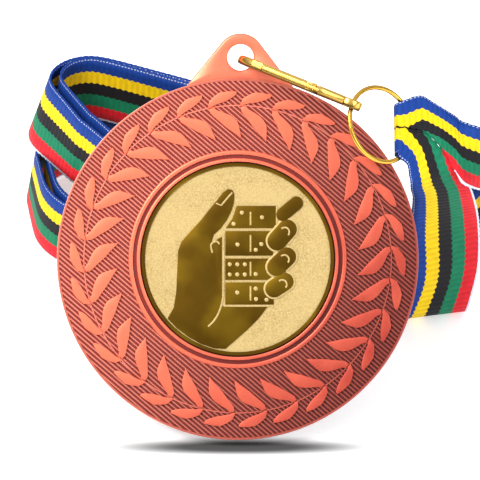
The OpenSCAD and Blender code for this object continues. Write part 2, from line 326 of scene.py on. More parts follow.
class Shape:
    """Points and faces gathered into one piece, in millimetres."""

    # Steps over a domed end and round a corner, and a bar's least half width
    DOME_STEPS = 5
    CORNER_STEPS = 5
    THINNEST = 0.02

    def __init__(self, place: Matrix) -> None:
        """Starts empty, in axes placed by a matrix."""
        self.place = place
        self.points: list[Vector] = []
        self.faces: list[list[int]] = []

    def add(self, points: Sequence[Point], faces: Sequence[Sequence[int]]) -> None:
        """Adds points and the faces between them."""
        start = len(self.points)
        self.points.extend(Vector(p) for p in points)
        self.faces.extend([start + i for i in face] for face in faces)

    def add_mesh(self, mesh: bpy.types.Mesh, matrix: Matrix) -> None:
        """Adds a mesh's points, moved by a matrix, and its faces."""
        points = [matrix @ v.co for v in mesh.vertices]
        self.add(points, [list(p.vertices) for p in mesh.polygons])

    def loops(self, rings: Sequence[Sequence[Point]], closed: bool = True, caps: bool = True) -> None:
        """Skins a row of rings that all have the same number of points.

        Args:
            rings: The rings, in order.
            closed: Whether each ring closes on itself.
            caps: Whether the first and last rings are filled.
        """
        count = len(rings[0])
        points = [p for ring in rings for p in ring]
        faces = []
        for r in range(len(rings) - 1):
            for i in range(count if closed else count - 1):
                j = (i + 1) % count
                a = r * count
                faces.append([a + i, a + j, a + count + j, a + count + i])
        if caps:
            faces.append(list(range(count))[::-1])
            faces.append([(len(rings) - 1) * count + i for i in range(count)])
        self.add(points, faces)

    def lathe(self, outline: Sequence[Point], steps: int = 192, centre: Point = (0, 0)) -> None:
        """Turns a closed (r, n) outline about a centre.

        An outline that starts and ends at r = 0 has poles.

        Args:
            outline: Radii and heights.
            steps: Points round the turn.
            centre: Where the axis stands.
        """
        solid = outline[0][0] < 1e-6
        rings = []
        rows = outline if solid else [*outline, outline[0]]
        for r, n in rows:
            rings.append([
                (centre[0] + r * math.cos(math.tau * k / steps),
                 centre[1] + r * math.sin(math.tau * k / steps), n)
                for k in range(steps)
            ])
        self.loops(rings, caps=False)

    def plate(self, outline: Sequence[Point], low: float, high: float, bevel: float = 0.0) -> None:
        """A flat plate with softened top edges.

        Args:
            outline: Its (x, y) outline.
            low: Height of its underside.
            high: Height of its top.
            bevel: Width of the softened edge.
        """
        work = bmesh.new()
        base = [work.verts.new((p[0], p[1], low)) for p in outline]
        top = [work.verts.new((p[0], p[1], high)) for p in outline]
        work.faces.new(base[::-1])
        lid = work.faces.new(top)
        for i in range(len(base)):
            j = (i + 1) % len(base)
            work.faces.new((base[i], base[j], top[j], top[i]))
        bmesh.ops.recalc_face_normals(work, faces=work.faces[:])
        if bevel:
            bmesh.ops.bevel(
                work, geom=lid.edges[:], offset=bevel, offset_type="WIDTH", segments=2,
                profile=0.6, affect="EDGES", clamp_overlap=True,
            )
        bmesh.ops.triangulate(work, faces=[f for f in work.faces if len(f.verts) > 4])
        work.verts.index_update()
        self.add([v.co for v in work.verts], [[v.index for v in f.verts] for f in work.faces])
        work.free()

    def sweep(
        self, line: Sequence[Point], across: Point, width: Union[float, Sequence[float]],
        depth: Union[float, Sequence[float]], corner: float, dome: float = 0.0,
    ) -> None:
        """A bar with rounded corners along a line.

        Args:
            line: Points along its middle.
            across: The direction that its depth keeps to.
            width: Its width in the plane of the line, one or one a point.
            depth: Its depth, one or one a point.
            corner: Radius of its corners.
            dome: How far its ends are rounded over.
        """
        pts = [Vector(p) for p in line]
        widths = [width] * len(pts) if isinstance(width, (int, float)) else list(width)
        depths = [depth] * len(pts) if isinstance(depth, (int, float)) else list(depth)
        heads = [
            (pts[min(i + 1, len(pts) - 1)] - pts[max(i - 1, 0)]).normalized()
            for i in range(len(pts))
        ]
        rows = [(p, h, 0.0, w, d) for p, h, w, d in zip(pts, heads, widths, depths)]
        if dome:
            first, last = rows[0], rows[-1]
            front = []
            back = []
            for k in range(self.DOME_STEPS):
                a = math.pi / 2 * k / self.DOME_STEPS
                inset = dome * (1 - math.sin(a))
                reach = dome * math.cos(a)
                front.append((first[0] - first[1] * reach, first[1], inset, first[3], first[4]))
                back.append((last[0] + last[1] * reach, last[1], inset, last[3], last[4]))
            rows = front + rows + back[::-1]
        rings = []
        for p, head, inset, w, d in rows:
            up = Vector(across).normalized()
            side = head.cross(up).normalized()
            half_w = max(w / 2 - inset, self.THINNEST)
            half_d = max(d / 2 - inset, self.THINNEST)
            r = min(corner, half_w * 0.999, half_d * 0.999)
            ring = []
            for quarter in range(4):
                sx = (1, -1, -1, 1)[quarter]
                sy = (1, 1, -1, -1)[quarter]
                for k in range(self.CORNER_STEPS + 1):
                    a = math.pi / 2 * (quarter + k / self.CORNER_STEPS)
                    x = sx * (half_w - r) + r * math.cos(a)
                    y = sy * (half_d - r) + r * math.sin(a)
                    ring.append(p + side * x + up * y)
            rings.append(ring)
        self.loops(rings)

    def piece(
        self, name: str, material: bpy.types.Material, sharp: float = 38.0,
        uv: Sequence[tuple[float, float]] | None = None,
    ) -> bpy.types.Object:
        """Makes the piece, closed and with its faces outwards.

        Args:
            name: The piece's name.
            material: Its finish.
            sharp: The angle in degrees past which an edge stays sharp.
            uv: A map position for each point, for an open strip.

        Returns:
            The new object, with its place in its mesh.
        """
        mesh = bpy.data.meshes.new(name)
        points = [(self.place @ p) * MM for p in self.points]
        mesh.from_pydata([tuple(p) for p in points], [], self.faces)
        if uv is None:
            work = bmesh.new()
            work.from_mesh(mesh)
            bmesh.ops.remove_doubles(work, verts=work.verts[:], dist=1e-7)
            bmesh.ops.dissolve_degenerate(work, edges=work.edges[:], dist=1e-7)
            bmesh.ops.recalc_face_normals(work, faces=work.faces[:])
            work.to_mesh(mesh)
            work.free()
        else:
            layer = mesh.uv_layers.new(name="UVMap")
            for loop in mesh.loops:
                layer.data[loop.index].uv = uv[loop.vertex_index]
        mesh.shade_smooth()
        mesh.set_sharp_from_angle(angle=math.radians(sharp))
        mesh.materials.append(material)
        piece = bpy.data.objects.new(name, mesh)
        bpy.context.scene.collection.objects.link(piece)
        return piece


def polar(r: float, turn: float) -> tuple[float, float]:
    """The point at a radius and a clockwise turn in degrees from the top."""
    return (r * math.sin(math.radians(turn)), r * math.cos(math.radians(turn)))


def smooth_line(rows: Sequence[Sequence[float]], steps: int) -> list[list[float]]:
    """Passes a smooth line through rows of numbers.

    Args:
        rows: The rows to pass through.
        steps: Steps from one row to the next.

    Returns:
        All the rows of the smooth line.
    """
    line: list[list[float]] = []
    last = len(rows) - 1
    for i in range(last):
        a, b, c, d = rows[max(i - 1, 0)], rows[i], rows[i + 1], rows[min(i + 2, last)]
        for s in range(steps):
            t = s / steps
            line.append([
                0.5 * (2 * q + (r - p) * t + (2 * p - 5 * q + 4 * r - z) * t * t
                       + (3 * q - p - 3 * r + z) * t ** 3)
                for p, q, r, z in zip(a, b, c, d)
            ])
    line.append(list(rows[last]))
    return line


def settle(piece: bpy.types.Object, body: Body, slot: Slot, *nodes: str) -> None:
    """Hangs a finished piece on its body.

    Args:
        piece: The piece.
        body: The body that it moves with.
        slot: The record's slot for its finish; not used.
        nodes: The drawn parts that it stands for.
    """
    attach(piece, body.value)
    if nodes:
        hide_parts(*nodes)
    log.info("%s rides on %s", piece.name, body.value)


# ---------------------------------------------------------------- finishes


class ShaderTree(Tree):
    """A material's node tree round one Principled shader."""

    def __init__(self, name: str, **constants: object) -> None:
        """Makes the material; constants are set on the shader's own sockets."""
        self.material = bpy.data.materials.new(name)
        self.material.use_nodes = True
        super().__init__(self.material.node_tree)
        self.shader = next(n for n in self.group.nodes if n.type == "BSDF_PRINCIPLED")
        for key, value in constants.items():
            value = (*value, 1.0) if isinstance(value, tuple) else value
            self.shader.inputs[key.replace("_", " ")].default_value = value

    def place(self) -> bpy.types.NodeSocket:
        """Position on the piece, in metres."""
        return self.node("ShaderNodeTexCoord").outputs["Object"]

    def noise(self, scale: float, detail: float = 2.0, vector: object = None) -> Value:
        """Noise of a scale in waves a metre."""
        values = {"Vector": vector or self.place(), "Scale": scale, "Detail": detail}
        return self.out(self.node("ShaderNodeTexNoise", None, values), 0)

    def along(self, direction: Vector) -> Value:
        """How far a place lies along a direction, in millimetres."""
        dot = self.vector("DOT_PRODUCT", self.place(), tuple(direction), key="Value")
        return Value(self, dot) * 1000.0

    def drive(self, socket: str, source: object) -> None:
        """Feeds one of the shader's sockets."""
        source = source.socket if isinstance(source, Value) else source
        self.group.links.new(source, self.shader.inputs[socket])

    def bump(self, height: Value, strength: float, distance: float) -> None:
        """Feeds the shader's normal from a height."""
        values = {"Height": height, "Strength": strength, "Distance": distance * MM}
        self.drive("Normal", self.node("ShaderNodeBump", None, values).outputs[0])


@dataclass(frozen=True)
class CastCopper:
    """Lacquered copper casting: bright on its relief and dark in its grooves.

    Heights are from the casting's back. Painted shade darkens all of it towards one side, and darkens
    the outer rim's edge.
    """

    # Relief, rib and groove colours, each with a painted-shade copy for the side away from the light;
    # the dark grooves themselves are patina
    bright: Colour = tone(244, 120, 88)
    relief_shaded: Colour = tone(164, 46, 36)
    rib: Colour = tone(228, 138, 118)
    rib_shaded: Colour = tone(152, 66, 54)
    groove: Colour = tone(140, 50, 42)
    groove_shaded: Colour = tone(74, 17, 15)
    rib_heights: tuple[float, float] = (2.1, 2.2)
    relief_heights: tuple[float, float] = (2.27, 2.4)
    # Painted shade on the outer rim's edge: where it starts and ends, and how strong it is
    rim_shade_radii: tuple[float, float] = (24.5, 24.8)
    rim_shade_share: float = 0.6
    shade_side: tuple[float, float, float] = (0.8, 0.0, -0.6)
    shade_rate: float = 0.02
    shade_start: float = 0.75
    metallic: float = 0.45
    roughness: float = 0.36

    def build(self) -> bpy.types.Material:
        """Makes the material."""
        tree = ShaderTree("cast_copper", Metallic=self.metallic, Roughness=self.roughness)
        matrix = FACE.matrix()
        out = matrix.to_3x3() @ Vector(UP)
        height = tree.along(out) - out.dot(matrix.translation)
        # Painted shade: the whole casting darkens towards one side, as if lit from the other
        side = (tree.along(Vector(self.shade_side)) * self.shade_rate + self.shade_start).ramp(0.0, 1.0)
        relief = tree.mix(side, self.bright, self.relief_shaded)
        patch = tree.noise(160.0, 3.0).ramp(0.35, 0.7)
        relief = tree.mix(patch * 0.25, relief, self.bright)
        middle = matrix @ Vector((0, DISC_UP, 0))
        across, up = (
            tree.along(axis) - axis.dot(middle) for axis in (matrix.col[0].xyz, matrix.col[1].xyz)
        )
        # Painted shade: the outer rim's edge takes the groove colour
        rim = (across * across + up * up).root().ramp(*self.rim_shade_radii)
        rib = tree.mix(side, self.rib, self.rib_shaded)
        groove = tree.mix(side, self.groove, self.groove_shaded)
        relief = tree.mix(rim * self.rim_shade_share, relief, groove)
        low = tree.mix(height.ramp(*self.rib_heights), groove, rib)
        tree.drive("Base Color", tree.mix(height.ramp(*self.relief_heights), low, relief))
        tree.drive("Roughness", tree.noise(900.0, 3.0) * 0.16 + (self.roughness - 0.06))
        tree.bump(tree.noise(5200.0, 2.0), 0.25, 0.02)
        return tree.material


@dataclass(frozen=True)
class SatinCopper:
    """Plain satin copper of the edge, back and tab."""

    colour: Colour = tone(238, 126, 94)
    dark: Colour = tone(214, 100, 74)
    metallic: float = 0.5
    roughness: float = 0.38

    def build(self) -> bpy.types.Material:
        """Makes the material."""
        tree = ShaderTree("satin_copper", Metallic=self.metallic, Roughness=self.roughness)
        cloud = tree.noise(220.0, 3.0)
        tree.drive("Base Color", tree.mix(cloud.ramp(0.35, 0.75) * 0.6, self.colour, self.dark))
        tree.drive("Roughness", cloud * 0.2 + (self.roughness - 0.08))
        tree.bump(tree.noise(3600.0, 3.0), 0.3, 0.02)
        return tree.material


@dataclass(frozen=True)
class BlastedGold:
    """Pale, fine-grained gold of the emblem's field and lines."""

    colour: Colour = tone(196, 170, 112)
    dark: Colour = tone(140, 112, 54)
    metallic: float = 0.35
    roughness: float = 0.5

    def build(self) -> bpy.types.Material:
        """Makes the material."""
        tree = ShaderTree("blasted_gold", Metallic=self.metallic, Roughness=self.roughness)
        grain = tree.noise(4600.0, 3.0)
        cloud = tree.noise(260.0, 2.0).ramp(0.3, 0.75)
        share = grain.ramp(0.3, 0.72) * (cloud * 0.35 + 0.35)
        tree.drive("Base Color", tree.mix(share, self.colour, self.dark))
        tree.bump(grain, 0.5, 0.04)
        return tree.material


@dataclass(frozen=True)
class PolishedGold:
    """Dark, mirror-like gold of the emblem's rim and raised motif, with lighter cloudy patches of
    painted reflection.
    """

    colour: Colour = tone(96, 68, 2)
    # Lighter copy of the gold, for the painted reflection
    light: Colour = tone(126, 96, 12)
    metallic: float = 0.85
    roughness: float = 0.3

    def build(self) -> bpy.types.Material:
        """Makes the material."""
        tree = ShaderTree("polished_gold", Metallic=self.metallic, Roughness=self.roughness)
        cloud = tree.noise(190.0, 1.5)
        # Painted reflection: cloudy patches lighten the dark gold
        tree.drive("Base Color", tree.mix(cloud.ramp(0.42, 0.72), self.colour, self.light))
        tree.drive("Roughness", tree.noise(700.0, 2.0) * 0.15 + (self.roughness - 0.05))
        return tree.material


@dataclass(frozen=True)
class GoldPlate:
    """Bright gold plating of the clip and ring."""

    name: str = "gold_plate"
    colour: Colour = tone(236, 192, 98)
    worn: Colour = tone(206, 156, 62)
    # Painted shade for one side of the clip, standing in for a dark reflection
    shade: Colour = tone(70, 48, 8)
    shade_heights: tuple[float, float] = (0.1, 0.45)
    shade_share: float = 0.85
    roughness: float = 0.2

    def build(self, place: Matrix | None = None) -> bpy.types.Material:
        """Makes the material.

        Args:
            place: Axes whose z side is darkened with painted shade, standing in for a dark reflection,
                if any.

        Returns:
            The material.
        """
        tree = ShaderTree(self.name, Metallic=1.0, Roughness=self.roughness)
        cloud = tree.noise(420.0, 3.0)
        gold = tree.mix(cloud.ramp(0.4, 0.75) * 0.6, self.colour, self.worn)
        # Painted shade: the bar's z side darkens as a dark reflection would
        if place is not None:
            side = place.col[2].xyz
            height = tree.along(side) - side.dot(place.translation)
            gold = tree.mix(height.ramp(*self.shade_heights) * self.shade_share, gold, self.shade)
        tree.drive("Base Color", gold)
        tree.drive("Roughness", tree.noise(1500.0, 3.0) * 0.08 + (self.roughness - 0.03))
        return tree.material


@dataclass(frozen=True)
class StripedWeave:
    """Ribbed weave in five stripes between pale selvedges.

    The map's u crosses the ribbon from 0 to 1, and its v runs along it in centimetres. A rib is in
    millimetres, a dash and the gap in it are shares of a rib and of a dash, and the other sizes are
    shares of the width.
    """

    stripes: tuple[Colour, ...] = (
        tone(8, 56, 138), tone(244, 204, 0), tone(22, 20, 22), tone(8, 120, 82), tone(216, 26, 38),
    )
    selvedge: Colour = tone(222, 230, 246)
    edge: float = 0.028
    dash_from: float = 0.012
    dash: float = 0.55
    gap: float = 0.45
    rib: float = 0.9
    ragged: float = 0.011
    wander: float = 0.014
    blur: float = 0.004
    roughness: float = 0.72

    def build(self) -> bpy.types.Material:
        """Makes the material."""
        tree = ShaderTree("striped_weave", Roughness=self.roughness, Specular_IOR_Level=0.25)
        uv = tree.node("ShaderNodeUVMap", {"uv_map": "UVMap"}).outputs[0]
        u, v = tree.parts(uv)[:2]
        v = v * CM
        wander = tree.noise(1.4, 2.0, uv) * self.wander - self.wander / 2
        tooth = (v / self.rib).math("PINGPONG", 0.5) * (4 * self.ragged) - self.ragged
        across = u + tooth + wander
        width = (1 - 2 * self.edge) / len(self.stripes)
        colour: object = self.stripes[0]
        for i, stripe in enumerate(self.stripes[1:], 1):
            limit = self.edge + i * width
            colour = tree.mix(across.ramp(limit - self.blur, limit + self.blur), colour, stripe)
        dash = (v / (self.rib * self.dash)).math("FRACT").above(self.gap)
        line = u.above(self.dash_from) * (1 - u.above(self.edge))
        far = u.above(1 - self.edge)
        colour = tree.mix(line * dash * 0.6 + far, colour, self.selvedge)
        ridge = (v * (math.tau / self.rib)).math("COSINE") * 0.5 + 0.5
        thread = (u * 320.0).math("SINE") * 0.5 + 0.5
        speck = tree.noise(9.0, 2.0, uv).ramp(0.35, 0.7)
        # Painted shade: the troughs between ribs darken; the specks darken at random
        share = (1 - ridge) * 0.16 + speck * 0.12
        tree.drive("Base Color", tree.mix(share, colour, (0.0, 0.0, 0.01)))
        tree.bump(ridge + thread * 0.25, 0.3, 0.08)
        return tree.material


@dataclass(frozen=True)
class Matt:
    """A plain matt finish with a faint mottle."""

    name: str
    colour: Colour
    roughness: float = 0.8

    def build(self) -> bpy.types.Material:
        """Makes the material."""
        tree = ShaderTree(self.name, Roughness=self.roughness)
        dim = tuple(c * 0.82 for c in self.colour)
        tree.drive("Base Color", tree.mix(tree.noise(1800.0).ramp(0.4, 0.7), self.colour, dim))
        return tree.material


@dataclass(frozen=True)
class FloorPaper:
    """White sweep that the medal stands on, with a soft shadow painted under the medal's foot."""

    colour: Colour = (0.93, 0.93, 0.93)
    shade: Colour = (0.07, 0.07, 0.07)
    glow: float = 0.5
    painted_shadow_at: tuple[float, float] = (0.3, -1.7)
    painted_shadow_size: tuple[float, float] = (28.0, 3.0)

    def build(self) -> bpy.types.Material:
        """Makes the material."""
        tree = ShaderTree(
            "floor_paper", Roughness=0.9, Specular_IOR_Level=0.1, Emission_Strength=self.glow
        )
        shift = FACE.shift()
        x, y = (
            (tree.along(axis) - (zero + at)) / size
            for axis, zero, at, size in zip(
                (Vector((1, 0, 0)), Vector((0, 1, 0))), shift, self.painted_shadow_at, self.painted_shadow_size
            )
        )
        # Painted shadow: a soft dark ellipse under the medal's foot, where the floor's glow dims too
        share = 1 - (x * x + y * y).root().ramp(0.25, 1.0)
        tree.drive("Base Color", tree.mix(share, self.colour, self.shade))
        tree.drive("Emission Color", tree.mix(share, (1.0, 1.0, 1.0), (0.0, 0.0, 0.0)))
        return tree.material


# ---------------------------------------------------------------- medal


@dataclass(frozen=True)
class Casting:
    """The cast copper disc with its ridges, ribs, wreath and tab.

    Heights are from the back. A rib's top is flat to a share of its width from its middle, the
    crown, and falls by a share of its height outside it.
    """

    radius: float = DISC_UP
    groove: float = 2.06
    rib_top: float = 2.25
    relief: float = 2.5
    pocket: float = 1.0
    field_from: float = 15.08
    rim_wall: float = 0.34
    tilt: float = -0.8
    rib_pitch: float = 0.513
    rib_turn: float = -39.7
    rib_width: float = 0.24
    rib_crown: float = 0.4
    rib_fall: float = 0.4
    leaf_pairs: int = 30
    eyelet_up: float = 27.93
    eyelet: float = 1.83
    tab: float = 3.3
    tab_angle: float = 51.8

    def place(self) -> Matrix:
        """Face axes about the disc's centre."""
        centre = Matrix.Translation((0, self.radius, 0))
        return FACE.matrix() @ centre @ Matrix.Rotation(math.radians(self.tilt), 4, "Z")

    def disc(self, shape: Shape) -> None:
        """Turns the disc with its rim, two ridges and pocket."""
        r, g, t = self.radius, self.groove, self.relief
        shape.lathe([
            (0, 0), (r - 0.3, 0), (r - 0.08, 0.08), (r, 0.3), (r, 2.2), (r - 0.04, 2.31),
            (r - 0.13, 2.36), (r - 0.25, 2.34), (r - 0.33, 2.24), (r - 0.36, g), (15.12, g),
            (15.08, t - 0.15), (15.0, t - 0.04), (14.9, t), (14.64, t), (14.54, t - 0.05),
            (14.49, t - 0.16), (14.47, g + 0.02), (13.99, g + 0.02), (13.97, t - 0.14),
            (13.9, t - 0.04), (13.8, t), (13.64, t), (13.54, t - 0.05), (13.49, t - 0.2),
            (13.47, self.pocket), (0, self.pocket),
        ], ROUND)

    def stem(self, shape: Shape) -> None:
        """Turns the wreath's stem."""
        foot = self.groove - SINK
        shape.lathe([
            (21.15, foot), (21.17, 2.27), (21.22, 2.32), (21.3, 2.32), (21.35, 2.27), (21.37, foot),
        ], ROUND)

    def ribs(self, material: bpy.types.Material) -> bpy.types.Mesh:
        """Rules straight ribs across the field between the outer ridge and the rim.

        Args:
            material: Their finish.

        Returns:
            The ribs as a mesh, on the disc's axes.
        """
        tree = GeometryTree("ribs")
        pitch = tree.input("Pitch", "NodeSocketFloat", self.rib_pitch)
        outer = tree.input("Outer Radius", "NodeSocketFloat", self.radius - self.rim_wall)
        inner = tree.input("Inner Radius", "NodeSocketFloat", self.field_from)
        width = tree.input("Width", "NodeSocketFloat", self.rib_width)
        height = tree.input("Height", "NodeSocketFloat", self.rib_top - self.groove + SINK)
        turn = tree.input("Turn", "NodeSocketFloat", math.radians(self.rib_turn))
        count = (outer * 2.0 / pitch).math("FLOOR")
        size = tree.combine(1.0, width, height)
        bar = tree.node(
            "GeometryNodeMeshCube", None,
            {"Size": size, "Vertices X": 4, "Vertices Y": 4, "Vertices Z": 2},
        )
        x, y, z = tree.here()
        edge = (y / width).math("ABSOLUTE").above(self.rib_crown)
        slope = edge * z.above(0.0) * height * self.rib_fall
        crowned = tree.place(bar.outputs[0], tree.combine(x, y, z - slope))
        line = tree.node(
            "GeometryNodeMeshLine", {"mode": "OFFSET"},
            {"Count": count, "Start Location": tree.combine(y=(count - 1.0) * pitch * -0.5),
             "Offset": tree.combine(y=pitch)},
        )
        spread = tree.node(
            "GeometryNodeInstanceOnPoints", None, {"Points": line.outputs[0], "Instance": crowned}
        )
        real = tree.node("GeometryNodeRealizeInstances", None, {0: spread.outputs[0]})
        x, y, z = tree.here()
        near = (inner * inner - y * y).root()
        far = (outer * outer - y * y).root()
        reach = near + (far - near) * (x + 0.5)
        half = tree.place(real.outputs[0], tree.combine(reach, y, z))
        other = tree.node(
            "GeometryNodeTransform", None, {"Geometry": half, "Rotation": (0.0, 0.0, math.pi)}
        )
        both = tree.node("GeometryNodeJoinGeometry")
        tree.group.links.new(half, both.inputs[0])
        tree.group.links.new(other.outputs[0], both.inputs[0])
        final = tree.node(
            "GeometryNodeTransform", None,
            {"Geometry": both.outputs[0], "Rotation": tree.combine(z=turn)},
        )
        tree.finish(final.outputs[0], material)
        return tree.run("ribs")

    def leaf_pair(self) -> Shape:
        """A blunt outer blade and a long pointed inner one, on the stem."""
        pair = Shape(Matrix())
        outer = [
            (21.26, 0), (22.22, 1.1), (22.7, 2.9), (23.0, 4.2), (23.2, 5.2), (23.25, 8.0),
            (23.2, 10.9), (22.8, 10.7), (22.4, 9.4), (21.93, 6.9), (21.55, 2.9), (21.3, 1.2),
        ]
        inner = [
            (21.1, 0.5), (21.2, 2.3), (20.77, 3.4), (20.4, 5.7), (20.0, 8.0), (19.6, 9.6),
            (19.13, 10.9), (18.6, 11.6), (17.97, 12.05), (16.66, 12.9), (17.39, 9.8),
            (17.9, 7.7), (18.45, 5.7), (19.0, 4.2), (19.5, 2.9), (20.0, 1.6), (20.5, 0.6),
        ]
        for blade in (outer, inner):
            pair.plate([polar(*p) for p in blade], self.groove - SINK, self.relief, 0.1)
        return pair

    def leaves(self, material: bpy.types.Material) -> bpy.types.Mesh:
        """Repeats the leaf pair round the wreath.

        Args:
            material: Their finish.

        Returns:
            The wreath as a mesh, on the disc's axes.
        """
        source = self.leaf_pair().piece("leaf_pair", material)
        source.data.transform(Matrix.Scale(1 / MM, 4))
        tree = GeometryTree("wreath")
        leaf = tree.input("Leaf", "NodeSocketObject", source)
        count = tree.input("Count", "NodeSocketInt", self.leaf_pairs)
        points = tree.node("GeometryNodePoints", None, {"Count": count})
        index = tree.out(tree.node("GeometryNodeInputIndex"))
        turn = tree.combine(z=index * (-math.tau) / count)
        info = tree.node("GeometryNodeObjectInfo", None, {"Object": leaf})
        ring = tree.node(
            "GeometryNodeInstanceOnPoints", None,
            {"Points": points.outputs[0], "Instance": info.outputs["Geometry"], "Rotation": turn},
        )
        tree.finish(ring.outputs[0], material)
        mesh = tree.run("wreath")
        bpy.data.objects.remove(source)
        return mesh

    def reach(self, turn: float) -> float:
        """How far the tab's edge lies from the eyelet's middle, at a turn from the top in radians."""
        up = abs(math.remainder(turn, math.tau))
        limit = math.radians(self.tab_angle)
        edge = self.tab
        if up > limit:
            edge = self.tab / max(math.cos(up - limit), 0.05)
        c = self.eyelet_up * math.cos(up)
        rest = c * c - self.eyelet_up ** 2 + (self.radius - 0.2) ** 2
        if c < 0 <= rest:
            edge = min(edge, -c - math.sqrt(rest))
        return edge

    def tab_plate(self, shape: Shape) -> None:
        """Rings the eyelet with the tab's plate."""
        rings = []
        steps = 160
        for k in range(steps):
            turn = math.tau * k / steps
            r = self.reach(turn)
            e = self.eyelet
            section = [
                (e + 0.16, 0), (e + 0.03, 0.06), (e, 0.2), (e, 1.95), (e + 0.06, 2.12), (e + 0.2, 2.2),
                (r - 0.3, 2.2), (r - 0.1, 2.14), (r, 1.95), (r, 0.15), (r - 0.15, 0),
            ]
            s, c = math.sin(turn), math.cos(turn)
            rings.append([(q * s, self.eyelet_up + q * c, n) for q, n in section])
        shape.loops([*rings, rings[0]], caps=False)

    def build(self, relief: bpy.types.Material, satin: bpy.types.Material) -> None:
        """Builds the casting and its tab.

        Args:
            relief: Finish of the disc.
            satin: Finish of the tab.
        """
        disc = Shape(self.place())
        self.disc(disc)
        self.stem(disc)
        ribs = self.ribs(relief)
        height = (self.rib_top + self.groove - SINK) / 2
        disc.add_mesh(ribs, Matrix.Translation((0, 0, height)))
        disc.add_mesh(self.leaves(relief), Matrix())
        settle(disc.piece("casting", relief, 30), Body.MEDAL, Slot.COPPER, "medal_casting")
        tab = Shape(self.place())
        self.tab_plate(tab)
        settle(tab.piece("tab", satin, 50), Body.MEDAL, Slot.COPPER)


@dataclass(frozen=True)
class Finger:
    """A rounded finger: its two ends and its half width."""

    root: tuple[float, float]
    tip: tuple[float, float]
    half: float

    def outline(self, grow: float = 0.0) -> list[tuple[float, float]]:
        """The finger's outline, grown by a margin."""
        a, b = Vector(self.root), Vector(self.tip)
        heading = math.atan2(b.y - a.y, b.x - a.x)
        r = self.half + grow
        points = []
        steps = 12
        for centre, start in ((b, heading - math.pi / 2), (a, heading + math.pi / 2)):
            for k in range(steps + 1):
                t = start + math.pi * k / steps
                points.append((centre.x + r * math.cos(t), centre.y + r * math.sin(t)))
        return points


